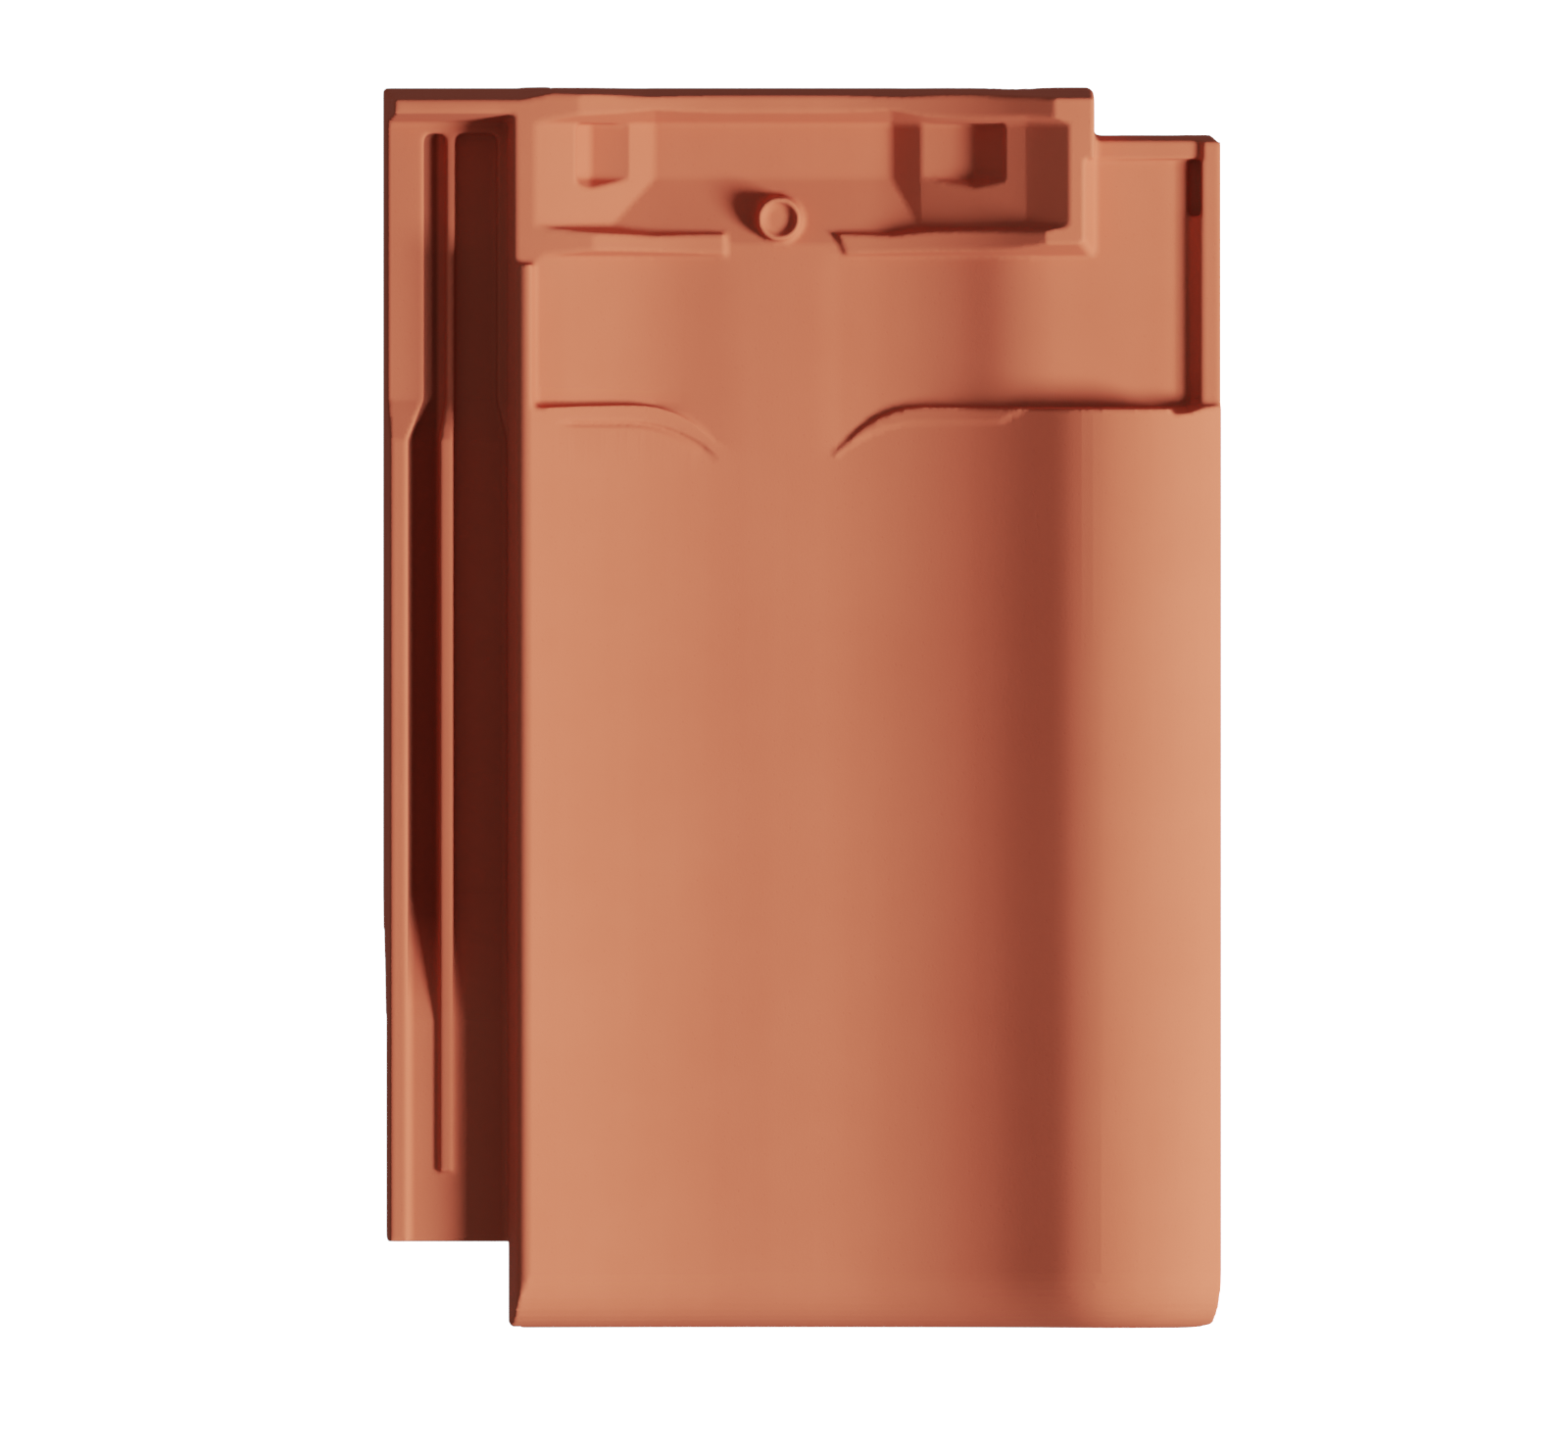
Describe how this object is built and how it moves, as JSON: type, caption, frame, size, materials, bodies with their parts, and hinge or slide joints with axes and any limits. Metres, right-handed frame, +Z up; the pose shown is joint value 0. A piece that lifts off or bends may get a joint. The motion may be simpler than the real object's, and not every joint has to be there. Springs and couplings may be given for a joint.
{
  "type": "roof pantile",
  "caption": "Interlocking clay roof pantile: wide trough, cover roll with a hanging lip, channelled side lock, sunk headlap, hanging nibs and a rounded foot.",
  "frame": {"origin": "centre of the tile's outline in plan, on the floor plane through the nib tips and the foot lip", "axes": "+X across the tile from the side lock to the roll, +Y up the roof slope from the foot to the head, +Z up through the weather face"},
  "size_m": [0.284, 0.42, 0.0524],
  "materials": {
    "clay": "matte natural-red fired clay, unglazed"
  },
  "bodies": {
    "root": {"pantile": "clay"}
  },
  "joints": []
}
